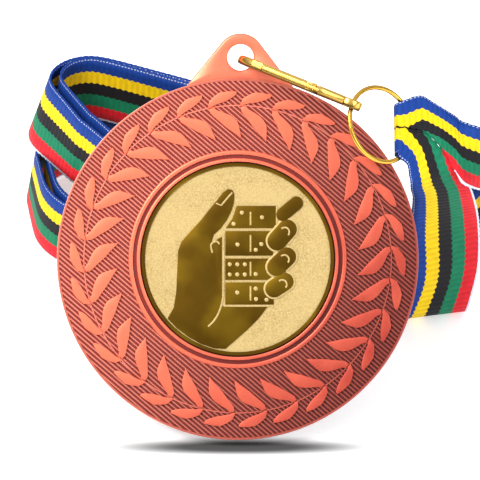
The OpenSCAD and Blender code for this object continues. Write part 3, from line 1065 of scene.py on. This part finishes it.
@dataclass(frozen=True)
class Emblem:
    """The gold disc set into the casting, with a raised hand that holds four game tiles."""

    radius: float = 13.35
    back: float = 1.1
    fieldtop: float = 2.0
    rim: float = 2.25
    raised: float = 2.1
    line: float = 0.12
    palm: tuple[tuple[float, float], ...] = (
        (-1.37, 9.7), (-0.75, 9.6), (-0.45, 9.0), (-0.5, 7.9), (-0.85, 6.7), (-1.5, 5.4),
        (-2.3, 4.3), (-3.3, 3.4), (-3.6, 2.4), (-3.1, 2.6), (-2.2, 3.1), (-2.2, -6.5),
        (4.1, -6.6), (2.9, -8.2), (1.4, -9.7), (-0.3, -11.2), (-1.7, -12.4), (-3.3, -12.3),
        (-5.1, -11.7), (-6.8, -10.75), (-8.4, -9.55), (-9.7, -8.2), (-8.85, -6.7), (-8.5, -4.6),
        (-8.35, -1.5), (-8.25, 1.1), (-7.8, 2.4), (-6.5, 3.9), (-5.0, 5.5), (-4.0, 6.8), (-2.9, 8.1),
        (-2.1, 9.2),
    )
    tiles: tuple[tuple[tuple[float, float], ...], ...] = (
        ((-0.13, 7.38), (5.25, 7.38), (5.25, 4.3), (-1.63, 4.3), (-0.7, 5.7)),
        ((-1.72, 3.9), (4.9, 3.9), (4.9, 0.5), (-1.72, 0.5)),
        ((-1.72, 0.1), (4.6, 0.1), (4.6, -2.85), (-1.72, -2.85)),
        ((-1.72, -3.2), (4.98, -3.2), (4.98, -6.25), (-1.72, -6.25)),
    )
    fingers: tuple[Finger, ...] = (
        Finger((6.25, 6.2), (8.1, 7.75), 0.95),
        Finger((5.45, 2.55), (6.85, 4.15), 1.35),
        Finger((5.35, -1.05), (6.8, 0.35), 1.3),
        Finger((5.05, -4.05), (6.5, -3.1), 1.25),
    )
    pips: tuple[tuple[float, float], ...] = (
        (0.57, 6.45), (-0.58, 4.9), (3.36, 5.8), (-0.03, 2.04), (3.27, 2.1), (2.5, 1.3),
        (-1.1, -0.7), (-0.06, -0.7), (0.98, -0.7), (-1.1, -2.1), (-0.06, -2.1), (0.98, -2.1),
        (2.48, -2.05), (-0.06, -4.6), (2.48, -4.05), (2.53, -5.5), (3.98, -5.6),
    )
    bars: tuple[tuple[float, float], ...] = ((6.55, 4.7), (3.35, 1.05), (-0.35, -2.3), (-3.7, -5.7))
    nail: tuple[tuple[float, float], ...] = (
        (-0.45, 0.5), (0.02, 0.66), (0.46, 0.46), (0.64, 0.0), (0.5, -0.42),
    )
    lines: tuple[tuple[tuple[float, float], ...], ...] = (
        ((-3.0, 7.75), (-2.3, 7.45), (-0.75, 9.25)),
        ((-2.0, 3.4), (-1.98, -3.2), (-2.1, -5.6), (-2.6, -7.3), (-3.3, -8.5), (-4.1, -9.3)),
        ((-1.9, -6.45), (4.9, -6.45)),
        ((-2.5, 2.1), (-3.0, 2.5), (-3.7, 2.0), (-3.5, 0.9)),
        ((5.4, 7.3), (5.4, 4.9)),
    )

    def place(self) -> Matrix:
        """Face axes about the disc's centre."""
        return FACE.matrix() @ Matrix.Translation((0, DISC_UP, 0))

    def stroke(self, shape: Shape, points: Sequence[Point], low: float, high: float) -> None:
        """Draws a line of even width as a low bar."""
        dense = smooth_line([list(p) for p in points], 5) if len(points) > 3 else points
        raised = [(p[0], p[1], (low + high) / 2) for p in dense]
        shape.sweep(raised, UP, self.line * 2, high - low, 0.04)

    def disc(self, polished: bpy.types.Material, blasted: bpy.types.Material) -> None:
        """Turns the disc's rim and its grained field.

        Args:
            polished: Finish of the rim.
            blasted: Finish of the field.
        """
        r, t = self.radius, self.rim
        rim = Shape(self.place())
        rim.lathe([
            (0, self.back), (r - 0.1, self.back), (r, self.back + 0.1), (r, t - 0.06), (r - 0.06, t),
            (r - 0.4, t), (r - 0.5, t - 0.08), (r - 0.54, self.fieldtop - 0.03),
            (0, self.fieldtop - 0.03),
        ], ROUND)
        settle(rim.piece("emblem_rim", polished, 30), Body.MEDAL, Slot.EMBLEM, "emblem_disc")
        base = Shape(self.place())
        base.lathe([(0, self.fieldtop - 0.1), (r - 0.51, self.fieldtop - 0.1),
                    (r - 0.51, self.fieldtop), (0, self.fieldtop)], ROUND)
        settle(base.piece("emblem_field", blasted, 30), Body.MEDAL, Slot.EMBLEM)

    def motif(self, polished: bpy.types.Material) -> None:
        """Raises the palm, tiles and fingers.

        Args:
            polished: Their finish.
        """
        low, high = self.fieldtop - SINK, self.raised
        hand = Shape(self.place())
        hand.plate(self.palm, low, high, 0.05)
        for tile in self.tiles:
            hand.plate(tile, low, high + 0.01, 0.05)
        for finger in self.fingers:
            hand.plate(finger.outline(), low, high + 0.06, 0.07)
        settle(hand.piece("emblem_motif", polished, 40), Body.MEDAL, Slot.EMBLEM)

    def drawing(self, blasted: bpy.types.Material) -> None:
        """Draws the pale lines, pips and finger outlines.

        Args:
            blasted: Their finish.
        """
        low, high = self.fieldtop - SINK, self.raised + 0.03
        lines = Shape(self.place())
        for points in self.lines:
            self.stroke(lines, points, low, high)
        for finger in self.fingers[1:]:
            x, y = finger.tip
            self.stroke(lines, [(x + p - 0.35, y + q - 0.4) for p, q in self.nail], low, high + 0.05)
        for top, foot in self.bars:
            self.stroke(lines, ((1.77, top), (1.77, foot)), low, high)
        for pip in self.pips:
            lines.lathe([(0, low), (0.3, low), (0.3, high - 0.04), (0.25, high), (0, high)], 20, pip)
        for finger in self.fingers[1:]:
            lines.plate(finger.outline(0.24), low, high, 0.03)
        settle(lines.piece("emblem_lines", blasted, 40), Body.MEDAL, Slot.EMBLEM)

    def build(self, polished: bpy.types.Material, blasted: bpy.types.Material) -> None:
        """Builds the emblem.

        Args:
            polished: Finish of the rim and motif.
            blasted: Finish of the field and lines.
        """
        self.disc(polished, blasted)
        self.motif(polished)
        self.drawing(blasted)


# ---------------------------------------------------------------- clip and ring


@dataclass(frozen=True)
class Clip:
    """Gated snap clip; its own axes run x from the nose to the eye, y to the gate's leg and z across."""

    eye_point: tuple[float, float, float] = (15.83847581, 46.43411635, 4.74286105)
    down: float = 22.0
    rise: float = 12.06
    length: float = 17.34
    width: float = 8.0
    leg: float = 1.15
    thick: float = 1.28
    pin_at: float = 12.2
    pin: float = 0.3
    eye_hole: float = 1.05
    eye_wall: float = 0.62
    corner: float = 0.5

    def place(self) -> Matrix:
        """The clip's axes."""
        d, r = math.radians(self.down), math.radians(self.rise)
        x = Vector((math.cos(d) * math.cos(r), -math.sin(d) * math.cos(r), math.sin(r)))
        y = Vector((-math.cos(d) * math.sin(r), math.sin(d) * math.sin(r), math.cos(r)))
        nose = Vector(self.eye_point) - x * self.length
        return FACE.matrix() @ axes(x, y, nose)

    def side(self) -> float:
        """How far the middle of each leg lies from the clip's own middle."""
        return self.width / 2 - self.leg / 2

    def loop_line(self) -> list[tuple[float, float, float]]:
        """The loop's middle line, from the nose round the bend and back to the eye."""
        side = self.side()
        bend = self.width / 2
        steps = 30
        line = [(3.0, side * 0.96, 0.0)]
        for k in range(steps + 1):
            a = math.radians(100 + 170 * k / steps)
            line.append((bend + side * math.cos(a), side * math.sin(a), 0.0))
        line += [(6.5, -side, 0.0), (9.5, -side, 0.0), (12.2, -side, 0.0)]
        line += [(13.1, -side + 0.15, 0.0), (13.7, -side + 0.6, 0.0), (15.0, -2.3, 0.0)]
        line += [(16.1, -1.42, 0.0)]
        return line

    def body(self, gold: bpy.types.Material) -> None:
        """Builds the loop, nose, tongue and eye.

        Args:
            gold: Their finish.
        """
        t, side = self.thick, self.side()
        shape = Shape(self.place())
        line = self.loop_line()
        widths = [self.leg] * (len(line) - 2) + [self.leg * 0.95, self.leg * 0.8]
        shape.sweep(line, UP, widths, t, self.corner)
        nose = [(2.9, side + 0.29, 0.0), (4.4, side + 0.29, 0.0)]
        shape.sweep(nose, UP, self.leg / 2 - 0.02, t, 0.2)
        shoulder = [(12.87, side, 0.0), (13.25, side - 0.08, 0.0), (13.75, side - 0.5, 0.0),
                    (15.0, 2.3, 0.0), (16.1, 1.42, 0.0)]
        shape.sweep(shoulder, UP, [self.leg, self.leg, self.leg, 1.05, 0.9], t, self.corner)
        tongue = [(12.0, side, 0), (13.3, side, 0)]
        shape.sweep(tongue, UP, 0.86, 0.44, 0.1)
        eye = self.length - 0.35
        r0, r1 = self.eye_hole, self.eye_hole + self.eye_wall
        rows = []
        steps = 24
        for k in range(steps):
            a = math.tau * k / steps
            cx = (r0 + r1) / 2 + (r1 - r0) / 2 * math.copysign(abs(math.cos(a)) ** 0.6, math.cos(a))
            cz = t / 2 * math.copysign(abs(math.sin(a)) ** 0.7, math.sin(a))
            rows.append((cx, cz))
        shape.lathe(rows, 64, (eye, 0))
        settle(shape.piece("clip_loop", gold, 45), Body.CLIP, Slot.PLATE, "clip_body")

    def gate(self, gold: bpy.types.Material) -> None:
        """Builds the gate: lapped at the nose and forked at its pin.

        Args:
            gold: Its finish.
        """
        t, side = self.thick, self.side()
        shape = Shape(self.place())
        bar = [(4.52, side, 0.0), (6.0, side, 0.0), (9.0, side, 0.0), (11.35, side, 0.0)]
        shape.sweep(bar, UP, self.leg, t, self.corner)
        lap = [(3.3, side - 0.3, 0.0), (4.6, side - 0.3, 0.0)]
        shape.sweep(lap, UP, self.leg / 2 - 0.03, t, 0.18)
        for z in (-1, 1):
            cheek = [(11.2, side, z * 0.45), (12.3, side, z * 0.45)]
            shape.sweep(cheek, UP, self.leg, 0.36, 0.15, 0.14)
        settle(shape.piece("clip_gate_bar", gold, 45), Body.GATE, Slot.PLATE, "clip_gate")

    def rivet(self, gold: bpy.types.Material) -> None:
        """Builds the gate's pin with domed ends.

        Args:
            gold: Its finish.
        """
        side, h = self.side(), self.thick / 2 + 0.08
        r = self.pin - 0.01
        shape = Shape(self.place())
        rows = [(0, -h), (r * 0.7, -h + 0.03), (r, -h + 0.1), (r, h - 0.1), (r * 0.7, h - 0.03), (0, h)]
        shape.lathe(rows, 32, (self.pin_at, side))
        settle(shape.piece("clip_pin", gold, 45), Body.CLIP, Slot.PLATE, "gate_pin")

    def build(self, gold: bpy.types.Material) -> None:
        """Builds the clip.

        Args:
            gold: Its finish.
        """
        self.body(gold)
        self.gate(gold)
        self.rivet(gold)


@dataclass(frozen=True)
class WireRing:
    """The wire ring between the clip's eye and the ribbon's hem."""

    centre: tuple[float, float, float] = (19.77, 43.6, 2.6)
    long: tuple[float, float, float] = (0.36, -0.933, 0.0)
    across: tuple[float, float, float] = (0.725, 0.28, -0.629)
    radius: float = 5.3
    wire: float = 0.33
    wire_steps: int = 20
    ring_steps: int = 160

    def build(self, gold: bpy.types.Material) -> None:
        """Builds the ring.

        Args:
            gold: Its finish.
        """
        shape = Shape(FACE.matrix() @ axes(self.long, self.across, self.centre))
        turns = [math.tau * k / self.wire_steps for k in range(self.wire_steps)]
        rows = [(self.radius + self.wire * math.cos(a), self.wire * math.sin(a)) for a in turns]
        shape.lathe(rows, self.ring_steps)
        settle(shape.piece("wire_ring", gold, 60), Body.RING, Slot.PLATE, "ring")


# ---------------------------------------------------------------- ribbon


RIBBON_WIDTH = 10.5
Lobes = tuple[tuple[float, float, float], ...]


@dataclass(frozen=True)
class Coil:
    """Turns of ribbon on edge: for each turn, the round corners of its top and bottom edges."""

    tops: tuple[Lobes, ...]
    bottoms: tuple[Lobes, ...]
    low: float
    width: float = RIBBON_WIDTH
    samples: int = 14
    lead: float = 0.02

    def outline(self, lobes: Lobes) -> list[Vector]:
        """Wraps the lobes anticlockwise, starting on the far side.

        Args:
            lobes: Round corners, in anticlockwise order from the left.

        Returns:
            Points in the same number for any lobes.
        """
        count = len(lobes)
        normals = []
        for i in range(count):
            a, b = lobes[i - 1], lobes[i]
            d = Vector((b[0] - a[0], b[1] - a[1]))
            lean = (a[2] - b[2]) / d.length
            d.normalize()
            normals.append(d * lean + Vector((d.y, -d.x)) * math.sqrt(1 - lean * lean))
        points = []
        for i, (x, y, r) in enumerate(lobes):
            before, after = normals[i], normals[(i + 1) % count]
            px, py, pr = lobes[i - 1]
            gap_from = Vector((px, py)) + before * pr
            gap_to = Vector((x, y)) + before * r
            if i == 0:
                gap_from = gap_from.lerp(gap_to, self.lead)
            for k in range(self.samples):
                points.append(gap_from.lerp(gap_to, k / self.samples))
            start = math.atan2(before.y, before.x)
            turn = (math.atan2(after.y, after.x) - start) % math.tau
            # Beyond three quarters it is really a small turn the other way, so the corner stays flat
            if turn > math.pi * 1.5:
                turn = 0.0
            for k in range(self.samples):
                t = start + turn * k / self.samples
                points.append(Vector((x + r * math.cos(t), y + r * math.sin(t))))
        return points

    def rows(self) -> list[list[float]]:
        """Both edges all the way along, from the outside in: seven numbers a row."""
        tops = [self.outline(lobes) for lobes in self.tops]
        feet = [self.outline(lobes) for lobes in self.bottoms]
        rows = []
        for turn in range(len(tops) - 1):
            for k in range(len(tops[0])):
                t = k / len(tops[0])
                top = tops[turn][k].lerp(tops[turn + 1][k], t)
                foot = feet[turn][k].lerp(feet[turn + 1][k], t)
                out = (top - foot).length
                rise = math.sqrt(max(self.width ** 2 - out ** 2, 1.0))
                rows.append([top.x, top.y, self.low + rise, foot.x, foot.y, self.low, 1.0])
        return rows


@dataclass(frozen=True)
class Ribbon:
    """One woven strip, from its hem on the ring, through two wound tiers, and back to the hem.

    A row of the route is the striped edge that starts it, the other edge, and how much of the
    width the row spans. Hem rows are on the hem's own axes, and all others are upright.
    """

    width: float = RIBBON_WIDTH
    thick: float = 0.34
    step: float = 0.225
    columns: int = 9
    passes: int = 3
    rib: float = 0.9
    face_ripple: float = 0.014
    edge_ripple: float = 0.03
    upper_hem: tuple[float, float, float] = (3.55, 0.14, 0.41)
    lower_hem: tuple[float, float, float] = (-3.55, 0.04, 0.42)
    stitch_count: int = 6
    stitch_from: tuple[float, float] = (2.0, -0.95)
    stitch_step: tuple[float, float] = (0.1, 0.36)
    stitch: float = 0.13
    hem_at: tuple[float, float, float] = (22.66801117, 43.0666906, 0.56718382)
    hem_along: tuple[float, float, float] = (-0.01280889, 0.96256031, -0.2707648)
    hem_away: tuple[float, float, float] = (0.98, -0.02, -0.19)
    plate: float = 0.64
    fold: tuple[tuple[float, float], ...] = (
        (3.4, -0.42), (2.6, -1.35), (1.5, -2.07), (0.3, -2.12), (-0.48, -1.66), (-0.7, -0.75),
        (-0.68, 0.06), (-0.46, 0.56),
    )
    upper_neck: tuple[tuple[float, ...], ...] = (
        (22.95, 46.95, 0.0, 23.35, 43.2, 0.0, 0.41),
        (24.5, 47.53, 0.0, 24.5, 42.98, 0.0, 0.49),
        (25.64, 47.57, 0.0, 25.64, 42.69, 0.0, 0.6),
        (27.0, 46.76, 0.0, 27.0, 41.66, 0.0, 0.67),
        (28.3, 45.96, 0.0, 28.3, 40.17, 0.0, 0.79),
        (30.06, 44.87, -0.3, 30.06, 37.2, -0.5, 0.98),
        (31.4, 44.0, -0.6, 31.4, 35.3, -1.1, 1.0),
    )
    lower_neck: tuple[tuple[float, ...], ...] = (
        (22.2, 39.2, 0.0, 23.35, 43.1, 0.0, 0.42),
        (22.78, 38.68, 0.0, 24.5, 42.86, 0.0, 0.5),
        (23.4, 38.2, -0.1, 25.64, 42.57, 0.0, 0.6),
        (23.64, 37.42, -0.3, 27.0, 41.52, 0.0, 0.68),
        (23.75, 36.5, -0.7, 28.3, 40.03, 0.0, 0.79),
        (23.92, 35.6, -1.4, 29.7, 38.2, -0.4, 0.9),
        (23.98, 34.55, -3.0, 31.15, 36.9, -1.9, 1.0),
        (24.27, 33.2, -6.2, 32.5, 34.6, -5.4, 1.0),
    )
    upper_strand: tuple[tuple[float, ...], ...] = (
        (36.0, 24.6, 29.6, 0.3, -0.05, 0.95),
        (38.2, 29.2, 26.6, 0.4, 0.05, 0.92),
        (38.6, 33.6, 21.2, 0.3, -0.05, 0.95),
        (35.0, 35.2, 15.2, 0.1, 0.0, 1.0),
        (29.2, 33.2, 11.0, 0.0, 0.0, 1.0),
        (25.2, 33.6, 9.5, 0.0, 0.0, 1.0),
        (21.9, 36.2, 11.2, 0.0, 0.0, 1.0),
        (20.0, 38.6, 13.3, 0.0, 0.0, 1.0),
        (17.3, 42.9, 15.2, 0.0, 0.0, 1.0),
        (13.9, 47.6, 15.85, 0.0, 0.0, 1.0),
    )
    lower_strand: tuple[tuple[float, ...], ...] = (
        (28.8, 26.5, 17.2, -0.91, -0.4, 0.0),
        (28.9, 26.7, 9.6, -0.91, -0.4, 0.0),
        (27.6, 26.6, 4.0, -0.95, -0.3, 0.0),
        (26.9, 28.3, 1.2, -0.98, -0.2, 0.0),
        (27.0, 32.4, 0.7, -1.0, 0.0, 0.0),
        (26.4, 36.4, 3.2, -0.84, -0.25, 0.5),
        (24.0, 40.2, 5.2, -0.3, -0.25, 0.92),
        (20.0, 43.6, 5.5, 0.0, 0.0, 1.0),
        (15.7, 47.2, 5.4, 0.0, 0.0, 1.0),
    )
    bight: tuple[tuple[float, ...], ...] = (
        (3.0, 50.4, 15.6, 0.0, 0.0, 1.0),
        (-4.5, 53.8, 14.6, 0.0, 0.0, 1.0),
        (-11.5, 56.2, 12.8, 0.0, 0.0, 1.0),
        (-15.4, 54.6, 11.2, 0.0, 0.0, 1.0),
        (-15.8, 51.8, 10.2, 0.0, 0.0, 1.0),
        (-12.8, 49.8, 9.2, 0.0, 0.0, 1.0),
        (-6.5, 50.2, 7.6, 0.0, 0.0, 1.0),
        (0.0, 50.3, 6.1, 0.0, 0.0, 1.0),
        (4.5, 49.4, 5.5, 0.0, 0.0, 1.0),
    )
    upper: Coil = Coil(
        tops=(
            ((-21.3, 58.4, 5.6), (-13.3, 51.0, 10.0), (4.0, 24.4, 9.0), (8.0, 41.5, 7.8)),
            ((-21.1, 58.9, 4.3), (-12.8, 53.2, 9.6), (4.2, 25.0, 8.6), (7.9, 41.4, 7.2)),
            ((-19.8, 58.2, 4.0), (-11.6, 53.2, 8.9), (4.4, 25.6, 8.2), (7.8, 41.2, 6.6)),
        ),
        bottoms=(
            ((-23.7, 58.6, 6.8), (-14.5, 53.0, 11.4), (4.0, 24.9, 9.0), (8.0, 41.5, 7.8)),
            ((-22.1, 58.9, 4.9), (-13.3, 53.5, 10.2), (4.2, 25.4, 8.6), (7.9, 41.4, 7.2)),
            ((-20.2, 58.2, 4.2), (-11.8, 53.3, 9.1), (4.4, 25.8, 8.2), (7.8, 41.2, 6.6)),
        ),
        low=10.65,
    )
    lower: Coil = Coil(
        tops=(
            ((-20.3, 56.0, 8.5), (-16.6, 49.8, 11.4), (4.0, 35.5, 8.4), (8.0, 42.0, 7.8)),
            ((-19.7, 56.0, 7.8), (-16.0, 49.8, 10.7), (4.1, 35.6, 7.7), (7.9, 41.9, 7.1)),
            ((-19.0, 56.0, 6.5), (-15.2, 49.8, 9.4), (4.2, 35.7, 7.1), (7.8, 41.8, 6.4)),
        ),
        bottoms=(
            ((-21.3, 58.5, 9.1), (-18.0, 51.0, 11.6), (4.0, 35.4, 8.5), (8.0, 42.0, 7.8)),
            ((-20.2, 58.2, 8.3), (-16.6, 50.7, 11.0), (4.1, 35.6, 7.8), (7.9, 41.9, 7.1)),
            ((-19.2, 57.8, 6.8), (-15.4, 50.4, 9.6), (4.2, 35.7, 7.1), (7.8, 41.8, 6.4)),
        ),
        low=0.2,
    )

    def hem_matrix(self) -> Matrix:
        """The hem's axes among the face axes: x off the fold, y along it and z out of the ribbon."""
        y = Vector(self.hem_along).normalized()
        x = Vector(self.hem_away)
        x = (x - y * x.dot(y)).normalized()
        return axes(x, y, self.hem_at)

    def on_plate(self, u: float, v: float, lift: float) -> Vector:
        """The point of the neck's plane that shows at (u, v), moved out of the face by a lift."""
        hem = self.hem_matrix()
        out = hem.to_3x3() @ Vector(UP)
        at = Vector(self.hem_at)
        rest = self.plate - out.x * (u - at.x) - out.y * (v - at.y)
        return FACE.turned((u, v, at.z + rest / out.z + lift))

    def neck_rows(self, rows: Sequence[Sequence[float]]) -> list[list[float]]:
        """Upright rows from neck rows."""
        made = []
        for u0, v0, lift0, u1, v1, lift1, share in rows:
            a, b = self.on_plate(u0, v0, lift0), self.on_plate(u1, v1, lift1)
            made.append([*a, *b, share])
        return made

    def fold_rows(self, outer: float, inner: float, share: float) -> list[list[float]]:
        """Rows of the sleeve round the ring, from the back to the front.

        Args:
            outer: Where the striped edge lies along the fold.
            inner: Where the other edge lies.
            share: How much of the width these rows span.

        Returns:
            Upright rows.
        """
        hem = self.hem_matrix()
        rows = []
        for x, z in self.fold:
            a = FACE.turned(hem @ Vector((x, outer, z)))
            b = FACE.turned(hem @ Vector((x, inner, z)))
            rows.append([*a, *b, share])
        return rows

    def strand_rows(self, rows: Sequence[Sequence[float]]) -> list[list[float]]:
        """Rows of the full width from middles and the direction of the first edge."""
        made = []
        for x, y, z, i, j, k in rows:
            half = Vector((i, j, k)).normalized() * self.width / 2
            middle = Vector((x, y, z))
            made.append([*(middle + half), *(middle - half), 1.0])
        return made

    def route(self) -> list[list[float]]:
        """All the rows of the ribbon, from one end to the other."""
        start = self.fold_rows(*self.upper_hem)
        start += self.neck_rows(self.upper_neck) + self.strand_rows(self.upper_strand)
        finish = self.fold_rows(*self.lower_hem)
        finish += self.neck_rows(self.lower_neck) + self.strand_rows(self.lower_strand)
        finish.reverse()
        line = smooth_line(start, SMOOTH) + self.upper.rows()
        line += smooth_line(self.strand_rows(self.bight), SMOOTH)
        line += self.lower.rows()[::-1] + smooth_line(finish, SMOOTH)
        return line

    def even_rows(self) -> tuple[list[list[float]], float]:
        """The route at even steps along its middle, and its length."""
        line = self.route()
        for _ in range(self.passes):
            line = [line[0]] + [
                [(a + 2 * b + c) / 4 for a, b, c in zip(line[i - 1], line[i], line[i + 1])]
                for i in range(1, len(line) - 1)
            ] + [line[-1]]
        middles = [(Vector(row[0:3]) + Vector(row[3:6])) / 2 for row in line]
        marks = [0.0]
        for a, b in zip(middles, middles[1:]):
            marks.append(marks[-1] + (b - a).length)
        total = marks[-1]
        count = int(total / self.step)
        rows = []
        i = 0
        for k in range(count + 1):
            at = total * k / count
            while i < len(marks) - 2 and marks[i + 1] < at:
                i += 1
            t = (at - marks[i]) / max(marks[i + 1] - marks[i], 1e-9)
            rows.append([a + (b - a) * t for a, b in zip(line[i], line[i + 1])])
        return rows, total

    def build(self, weave: bpy.types.Material) -> float:
        """Builds the ribbon.

        Args:
            weave: Its finish.

        Returns:
            The ribbon's length, in millimetres.
        """
        rows, total = self.even_rows()
        shape = Shape(Matrix.Translation(FACE.shift()))
        uv = []
        grid = []
        for k, row in enumerate(rows):
            along = total * k / (len(rows) - 1)
            a, b = Vector(row[0:3]), Vector(row[3:6])
            back, ahead = rows[max(k - 1, 0)], rows[min(k + 1, len(rows) - 1)]
            heading = Vector(ahead[0:3]) + Vector(ahead[3:6]) - Vector(back[0:3]) - Vector(back[3:6])
            out = heading.cross(a - b).normalized()
            wave = math.cos(math.tau * along / self.rib)
            edge = (a - b).normalized() * self.edge_ripple * wave
            ring = []
            for c in range(self.columns):
                t = c / (self.columns - 1)
                p = a.lerp(b, t) + out * self.face_ripple * wave
                if c == 0:
                    p = p + edge
                if c == self.columns - 1:
                    p = p - edge
                ring.append(p)
                uv.append((t * row[6], along / CM))
            grid.append(ring)
        shape.loops(grid, closed=False, caps=False)
        strip = shape.piece("ribbon_strip", weave, 70, uv)
        wall = strip.modifiers.new("Thickness", "SOLIDIFY")
        wall.thickness = self.thick * MM
        wall.offset = 0.0
        settle(
            strip, Body.RIBBON, Slot.RIBBON, "ribbon_hem", "ribbon_upper_strand",
            "ribbon_lower_strand", "ribbon_upper_tier", "ribbon_lower_tier",
        )
        total * MM
        log.info("ribbon length %.1f mm", total)
        return total

    def stitches(self, thread: bpy.types.Material) -> None:
        """Sews short stitches across the hem beside the seam.

        Args:
            thread: Their finish.
        """
        shape = Shape(FACE.matrix() @ self.hem_matrix())
        top = self.plate + self.thick / 2 + 0.03
        for k in range(self.stitch_count):
            x, y = (a + b * k for a, b in zip(self.stitch_from, self.stitch_step))
            line = [(x, y, top - 0.12), (x + 0.1, y + 0.03, top), (x + 0.5, y + 0.1, top),
                    (x + 0.6, y + 0.13, top - 0.12)]
            shape.sweep(line, UP, self.stitch, self.stitch, 0.06)
        settle(shape.piece("hem_thread", thread, 60), Body.RIBBON, Slot.THREAD, "hem_stitching")


# ---------------------------------------------------------------- stage


@dataclass(frozen=True)
class Lamp:
    """A square soft light: its place and side in metres, its power in watts and its colour."""

    name: str
    at: tuple[float, float, float]
    size: float
    power: float
    colour: Colour


@dataclass(frozen=True)
class Studio:
    """Floor, camera and soft light.

    The camera's aim and the width that it sees are on the face, in millimetres. The floor's half
    side and the lamps' places are in metres.
    """

    aim: tuple[float, float, float] = (0.32, 27.66, 1.1)
    across: float = 66.4
    lens: float = 1000.0
    sensor: float = 36.0
    floor: float = 2.4
    zenith: float = 0.95
    horizon: float = 0.35
    sky_colour: tuple[float, float, float, float] = (0.93, 0.96, 1.0, 1.0)
    sky_heights: tuple[float, float] = (0.1, 0.75)
    lamps_aim: tuple[float, float, float] = (0.0, 0.0, 0.02)
    lamps: tuple[Lamp, ...] = (
        Lamp("key", (-0.35, -0.25, 0.55), 0.3, 5.2, (1.0, 0.98, 0.95)),
        Lamp("fill", (0.5, -0.4, 0.35), 0.4, 1.6, (0.97, 0.98, 1.0)),
    )

    def build_floor(self, material: bpy.types.Material) -> None:
        """Lays the floor.

        Args:
            material: Its finish.
        """
        h = self.floor
        mesh = bpy.data.meshes.new("floor")
        mesh.from_pydata([(-h, -h, 0), (h, -h, 0), (h, h, 0), (-h, h, 0)], [], [(0, 1, 2, 3)])
        mesh.materials.append(material)
        floor = bpy.data.objects.new("floor", mesh)
        bpy.context.scene.collection.objects.link(floor)

    def build_camera(self) -> None:
        """Sets the camera square to the medal's face."""
        data = bpy.data.cameras.new("camera")
        data.sensor_width = self.sensor
        data.lens = self.lens
        data.clip_start = 0.01
        data.clip_end = 20
        camera = bpy.data.objects.new("camera", data)
        distance = self.across * self.lens / self.sensor
        place = FACE.matrix() @ Matrix.Translation(Vector(self.aim) + Vector((0, 0, distance)))
        place.translation = place.translation * MM
        camera.matrix_world = place
        bpy.context.scene.collection.objects.link(camera)
        bpy.context.scene.camera = camera

    def hang(self, lamp: Lamp) -> None:
        """Hangs a lamp that faces the object.

        Args:
            lamp: The lamp.
        """
        data = bpy.data.lights.new(lamp.name, "AREA")
        data.size = lamp.size
        data.energy = lamp.power
        data.color = lamp.colour
        light = bpy.data.objects.new(lamp.name, data)
        light.location = lamp.at
        ray = Vector(self.lamps_aim) - Vector(lamp.at)
        light.rotation_euler = ray.to_track_quat("-Z", "Y").to_euler()
        bpy.context.scene.collection.objects.link(light)

    def build_light(self) -> None:
        """Lights the scene: a sky that brightens upwards, and soft lamps."""
        world = bpy.data.worlds.new("world")
        world.use_nodes = True
        tree = Tree(world.node_tree)
        sky = world.node_tree.nodes["Background"]
        sky.inputs["Color"].default_value = self.sky_colour
        direction = tree.node("ShaderNodeTexCoord").outputs["Generated"]
        height = tree.parts(direction)[2].ramp(*self.sky_heights)
        strength = height * (self.zenith - self.horizon) + self.horizon
        world.node_tree.links.new(strength.socket, sky.inputs["Strength"])
        bpy.context.scene.world = world
        for lamp in self.lamps:
            self.hang(lamp)
        bpy.context.scene.view_settings.view_transform = "Standard"

    def build(self, paper: bpy.types.Material) -> None:
        """Builds the stage.

        Args:
            paper: Finish of the floor.
        """
        self.build_floor(paper)
        self.build_camera()
        self.build_light()


def main() -> None:
    """Builds the medal, its clip, ring and ribbon, and the stage."""
    logging.basicConfig(level=logging.INFO, format="%(message)s")
    clip = Clip()
    Casting().build(CastCopper().build(), SatinCopper().build())
    Emblem().build(PolishedGold().build(), BlastedGold().build())
    clip.build(GoldPlate("clip_plate").build(clip.place()))
    WireRing().build(GoldPlate(colour=tone(228, 178, 74), worn=tone(196, 146, 50)).build())
    ribbon = Ribbon()
    ribbon.build(StripedWeave().build())
    ribbon.stitches(Matt("black_thread", tone(28, 26, 28)).build())
    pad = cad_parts["emblem_adhesive"]
    pad.data.materials.clear()
    pad.data.materials.append(Matt("foam_pad", tone(240, 238, 230)).build())
    Studio().build(FloorPaper().build())


if __name__ == "__main__":
    main()
